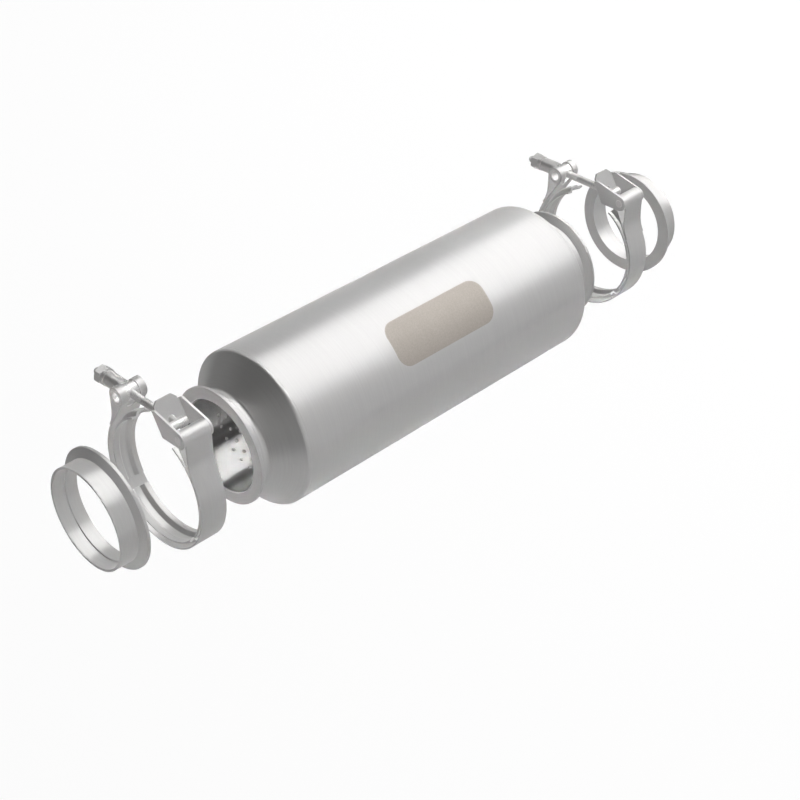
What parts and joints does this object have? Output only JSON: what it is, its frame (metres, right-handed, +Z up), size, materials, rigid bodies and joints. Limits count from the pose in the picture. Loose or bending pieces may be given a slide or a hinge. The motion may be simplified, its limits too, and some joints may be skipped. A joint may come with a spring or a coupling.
{
  "type": "exhaust muffler",
  "caption": "Round straight-through exhaust muffler with V-band flanges, quick-release band clamps and weld-on pipe flanges.",
  "frame": {"origin": "centre of the pipe mouth of the inlet weld flange, on the gas axis", "axes": "+X along the gas flow from inlet to outlet, +Z up towards the clamp bolts, +Y towards the clamp nuts"},
  "size_m": [0.6139, 0.137, 0.1356],
  "materials": {
    "satin_shell": "fine brushed round the body",
    "satin_cap": "spun, fine turning lines",
    "core_steel": "smooth rolled, perforated",
    "packing_wool": "matt glass fibre wool",
    "machined_flange": "machined, satin",
    "strap_steel": "satin strip",
    "retainer_steel": "formed strip, satin",
    "turned_steel": "turned, bright",
    "bolt_steel": "rolled thread, bright"
  },
  "bodies": {
    "muffler_kit": {"body_shell": "satin_shell", "inlet_end_cap": "satin_cap", "outlet_end_cap": "satin_cap", "perforated_core": "core_steel", "sound_packing": "packing_wool", "inlet_body_flange": "machined_flange", "outlet_body_flange": "machined_flange", "inlet_weld_flange": "machined_flange", "outlet_weld_flange": "machined_flange", "inlet_strap": "strap_steel", "inlet_v_retainer_bolt_side": "retainer_steel", "inlet_v_retainer_lower": "retainer_steel", "inlet_v_retainer_hinge_side": "retainer_steel", "inlet_trunnion": "turned_steel", "inlet_spacer_sleeve": "turned_steel", "inlet_hinge_pin": "turned_steel", "outlet_strap": "strap_steel", "outlet_v_retainer_bolt_side": "retainer_steel", "outlet_v_retainer_lower": "retainer_steel", "outlet_v_retainer_hinge_side": "retainer_steel", "outlet_trunnion": "turned_steel", "outlet_spacer_sleeve": "turned_steel", "outlet_hinge_pin": "turned_steel"},
    "inlet_bolt_body": {"inlet_t_bolt": "bolt_steel"},
    "inlet_nut_body": {"inlet_nut": "bolt_steel"},
    "inlet_saddle_body": {"inlet_saddle": "strap_steel"},
    "outlet_bolt_body": {"outlet_t_bolt": "bolt_steel"},
    "outlet_nut_body": {"outlet_nut": "bolt_steel"},
    "outlet_saddle_body": {"outlet_saddle": "strap_steel"}
  },
  "joints": [
    {"name": "inlet_saddle_swing", "type": "hinge", "parent": "muffler_kit", "child": "inlet_saddle_body", "pos_m": [0.0703, -0.0371, 0.057], "axis": [1, 0, 0], "range_deg": [0, 110]},
    {"name": "inlet_nut_turn", "type": "hinge", "parent": "muffler_kit", "child": "inlet_nut_body", "pos_m": [0.0703, 0.057, 0.0563], "axis": [0, 1, 0], "range_deg": [0, 1984.56]},
    {"name": "inlet_bolt_draw", "type": "slide", "parent": "muffler_kit", "child": "inlet_bolt_body", "axis": [0, 1, 0], "range_m": [-0.00501, 0.00001]},
    {"name": "outlet_saddle_swing", "type": "hinge", "parent": "muffler_kit", "child": "outlet_saddle_body", "pos_m": [0.544, -0.0371, 0.057], "axis": [1, 0, 0], "range_deg": [0, 110]},
    {"name": "outlet_nut_turn", "type": "hinge", "parent": "muffler_kit", "child": "outlet_nut_body", "pos_m": [0.544, 0.057, 0.0563], "axis": [0, 1, 0], "range_deg": [0, 1984.56]},
    {"name": "outlet_bolt_draw", "type": "slide", "parent": "muffler_kit", "child": "outlet_bolt_body", "axis": [0, 1, 0], "range_m": [-0.00501, 0.00001]}
  ],
  "couplings": [
    {"joint": "inlet_bolt_draw", "follows": "inlet_nut_turn", "m_per_rad": -0.00014435},
    {"joint": "outlet_bolt_draw", "follows": "outlet_nut_turn", "m_per_rad": -0.00014435}
  ]
}
